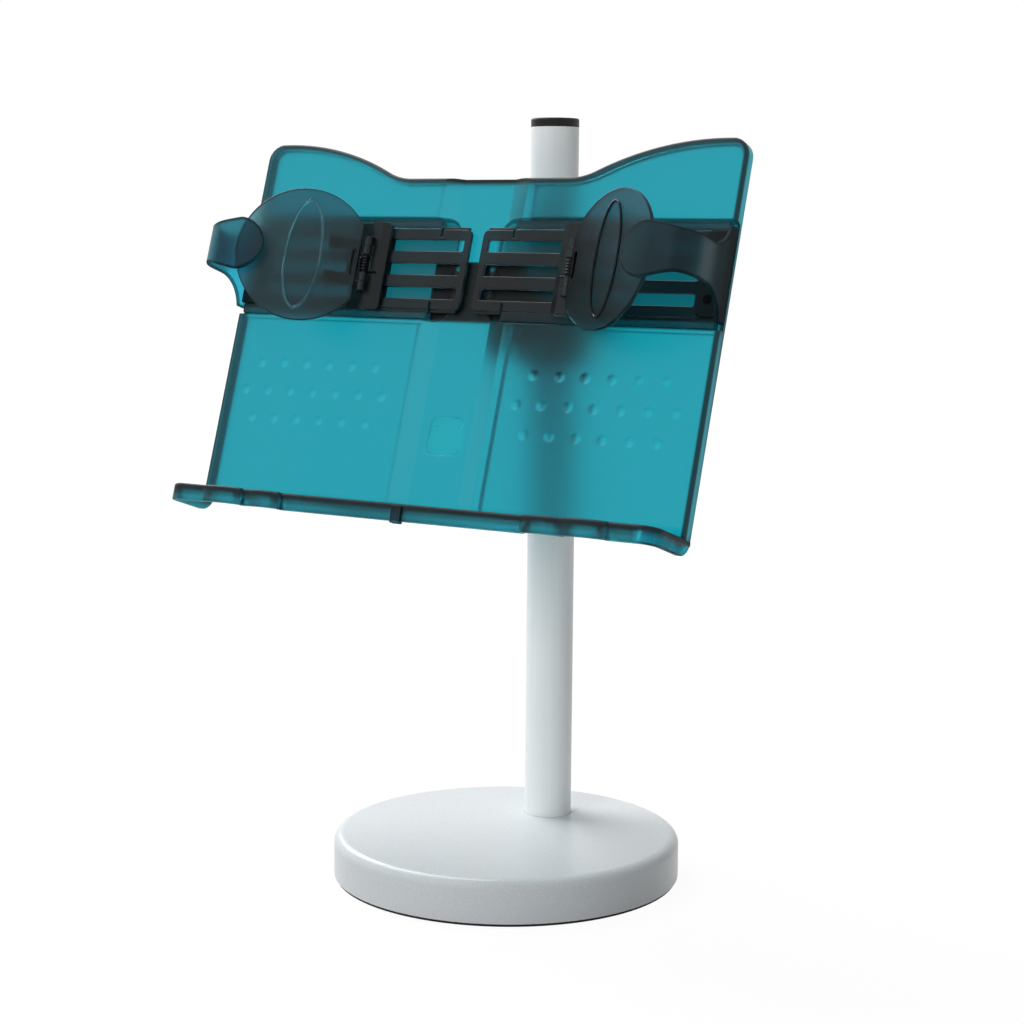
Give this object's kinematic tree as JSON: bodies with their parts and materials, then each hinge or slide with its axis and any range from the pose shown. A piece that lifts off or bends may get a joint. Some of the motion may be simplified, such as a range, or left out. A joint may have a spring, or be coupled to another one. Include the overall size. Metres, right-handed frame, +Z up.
{
  "type": "book stand",
  "caption": "Desk book stand: weighted round base, pole, sliding and swivelling clamp, and a tilting tinted board with a shelf, pull-out hooks and sprung page discs.",
  "frame": {"origin": "on the desk, under the middle of the round base", "axes": "+Z up, -Y towards the reader, +X to the reader's right, along the board's width"},
  "size_m": [0.281, 0.1973, 0.392],
  "materials": {
    "base_paint": "fine-textured satin silver paint",
    "pole_alloy": "satin anodised",
    "weight_iron": "bare casting",
    "steel": "zinc-plated",
    "dark_steel": "blackened",
    "brass": "turned",
    "foot_rubber": "matt",
    "black_plastic": "satin moulding",
    "board_tint": "frosted translucent teal",
    "badge_tint": "translucent teal, blank",
    "smoke_tint": "smoky translucent"
  },
  "bodies": {
    "stand": {"base_cover": "base_paint", "base_weight": "weight_iron", "base_foot_pad": "foot_rubber", "base_bolt": "steel", "base_washer": "steel", "pole_tube": "pole_alloy", "pole_plug": "black_plastic", "pole_cap": "black_plastic"},
    "collar": {"clamp_bush": "black_plastic", "bush_ring": "black_plastic"},
    "clamp": {"clamp_body": "black_plastic", "clamp_shoe": "foot_rubber", "clamp_nut": "brass", "tilt_arm": "black_plastic", "arm_screws": "steel"},
    "clamp_handle": {"clamp_knob": "black_plastic", "clamp_stud": "steel"},
    "board": {"back_bracket": "black_plastic", "bracket_screws": "steel", "tilt_bolt": "steel", "tilt_washers": "black_plastic", "board_panel": "board_tint", "badge_inlay": "badge_tint", "left_rails": "smoke_tint", "right_rails": "smoke_tint"},
    "tilt_handle": {"tilt_knob": "black_plastic", "tilt_insert": "brass"},
    "left_arm": {"left_slide": "smoke_tint", "left_hook": "smoke_tint", "left_hook_screws": "dark_steel"},
    "left_holder": {"left_carriage": "smoke_tint", "left_keeper": "smoke_tint", "left_pin": "dark_steel", "left_spring": "dark_steel"},
    "left_flap": {"left_disc": "smoke_tint", "left_leaf": "smoke_tint", "left_rivets": "dark_steel"},
    "right_arm": {"right_slide": "smoke_tint", "right_hook": "smoke_tint", "right_hook_screws": "dark_steel"},
    "right_holder": {"right_carriage": "smoke_tint", "right_keeper": "smoke_tint", "right_pin": "dark_steel", "right_spring": "dark_steel"},
    "right_flap": {"right_disc": "smoke_tint", "right_leaf": "smoke_tint", "right_rivets": "dark_steel"}
  },
  "joints": [
    {"name": "height_slide", "type": "slide", "parent": "stand", "child": "collar", "axis": [0, 0, 1], "range_m": [-0.12, 0.055]},
    {"name": "swivel", "type": "hinge", "parent": "collar", "child": "clamp", "pos_m": [0, 0.042, 0.2937], "axis": [0, 0, 1], "range_deg": [-90, 90]},
    {"name": "clamp_knob_turn", "type": "hinge", "parent": "clamp", "child": "clamp_handle", "pos_m": [0, 0.077, 0.2937], "axis": [0, 1, 0], "range_deg": [-120, 120]},
    {"name": "tilt", "type": "hinge", "parent": "clamp", "child": "board", "pos_m": [0, -0.0175, 0.2987], "axis": [-1, 0, 0], "range_deg": [-18, 40]},
    {"name": "tilt_knob_turn", "type": "hinge", "parent": "board", "child": "tilt_handle", "pos_m": [0.025, -0.0175, 0.2987], "axis": [1, 0, 0], "range_deg": [-120, 120]},
    {"name": "left_pull", "type": "slide", "parent": "board", "child": "left_arm", "axis": [-1, 0, 0], "range_m": [0, 0.045]},
    {"name": "left_carriage_slide", "type": "slide", "parent": "left_arm", "child": "left_holder", "axis": [-1, 0, 0], "range_m": [-0.005, 0.008]},
    {"name": "left_disc_swing", "type": "hinge", "parent": "left_holder", "child": "left_flap", "pos_m": [-0.06, -0.0431, 0.31701], "axis": [0, -0.309, -0.9511], "range_deg": [0, 24], "stiffness_Nm_per_rad": 0.02, "springref_deg": -20.05},
    {"name": "right_pull", "type": "slide", "parent": "board", "child": "right_arm", "axis": [1, 0, 0], "range_m": [0, 0.045]},
    {"name": "right_carriage_slide", "type": "slide", "parent": "right_arm", "child": "right_holder", "axis": [1, 0, 0], "range_m": [-0.005, 0.008]},
    {"name": "right_disc_swing", "type": "hinge", "parent": "right_holder", "child": "right_flap", "pos_m": [0.06, -0.0431, 0.31701], "axis": [0, 0.309, 0.9511], "range_deg": [0, 24], "stiffness_Nm_per_rad": 0.02, "springref_deg": -20.05}
  ]
}
